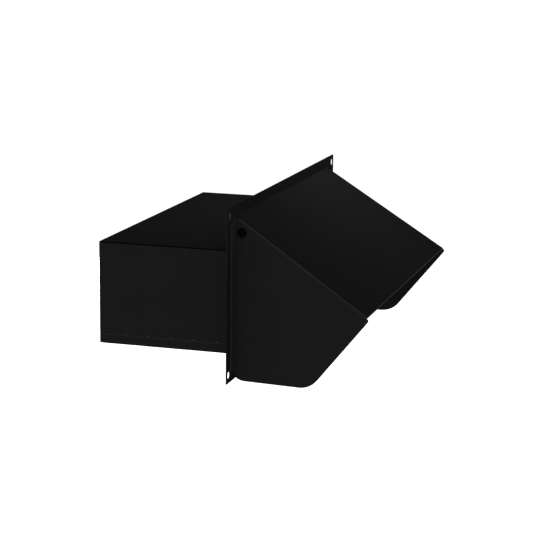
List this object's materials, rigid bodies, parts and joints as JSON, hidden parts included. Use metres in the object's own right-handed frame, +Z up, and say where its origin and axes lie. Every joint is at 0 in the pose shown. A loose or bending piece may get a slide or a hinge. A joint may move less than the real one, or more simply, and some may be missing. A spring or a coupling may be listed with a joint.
{
  "type": "wall vent cap",
  "caption": "Wall vent cap for a flat kitchen duct: sloped hood of folded black sheet steel on a wall plate, rectangular duct collar behind, hanging back-draught damper and bird screen.",
  "frame": {"origin": "Middle of the wall plate's back face, where the four screw holes centre.", "axes": "+X to the right across the wall, seen from outside; +Y into the wall along the duct; +Z up. The hood points to -Y."},
  "size_m": [0.3114, 0.2237, 0.1387],
  "materials": {
    "black_paint": "semi-gloss black powder coat on sheet steel",
    "black_nylon": "moulded black nylon",
    "zinc_steel": "zinc-plated steel",
    "mill_aluminium": "mill-finish sheet"
  },
  "bodies": {
    "cap": {"wall_plate": "black_paint", "duct_collar": "black_paint", "hood": "black_paint", "pivot_bushing_left": "black_nylon", "pivot_bushing_right": "black_nylon", "screen_rail_left": "black_paint", "screen_rail_right": "black_paint", "bird_screen_lower": "black_paint", "bird_screen_front": "black_paint"},
    "damper": {"damper_flap": "mill_aluminium", "damper_rod": "zinc_steel"}
  },
  "joints": [
    {"name": "damper_swing", "type": "hinge", "parent": "cap", "child": "damper", "pos_m": [0, -0.0058, 0.047], "axis": [-1, 0, 0], "range_deg": [0, 55]}
  ]
}
